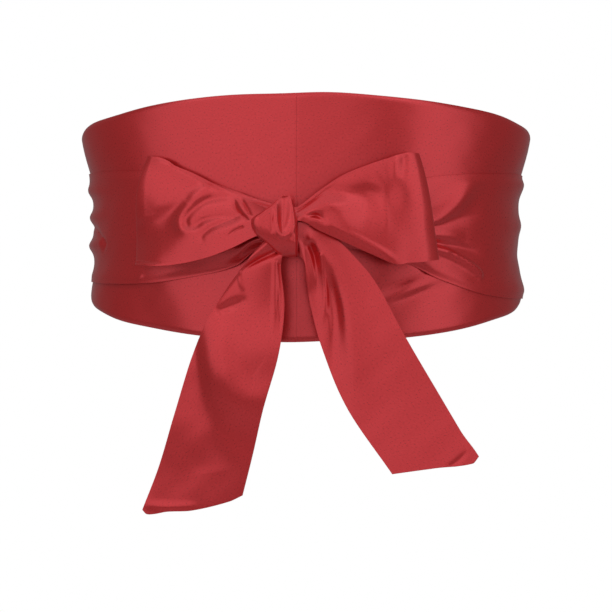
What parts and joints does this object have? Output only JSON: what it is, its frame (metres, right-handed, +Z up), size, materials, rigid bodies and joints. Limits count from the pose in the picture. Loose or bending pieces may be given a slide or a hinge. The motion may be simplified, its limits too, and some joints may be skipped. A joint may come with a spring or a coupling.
{
  "type": "satin obi wrap sash",
  "caption": "Wide satin wrap sash worn round a waist: a leaf-shaped, centre-seamed front panel, with long ties passed round the back and tied in a bow at the front.",
  "frame": {"origin": "centre of the waist that holds the sash, level with the waistline, half way up the wrapped ties", "axes": "+Z up the body, -Y out of the front with the bow, +X to the right as seen from the front"},
  "size_m": [0.2721, 0.2217, 0.2476],
  "materials": {
    "panel_satin": "satin weave over a stiff interlining, soft sheen",
    "tie_satin": "soft satin sewn double and turned out, soft sheen"
  },
  "bodies": {
    "root": {"panel_left": "panel_satin", "panel_right": "panel_satin", "tie_wrap_left": "tie_satin", "tie_wrap_right": "tie_satin", "bow_loop_left": "tie_satin", "bow_loop_right": "tie_satin", "bow_tail_left": "tie_satin", "bow_tail_right": "tie_satin", "bow_knot": "tie_satin"}
  },
  "joints": []
}
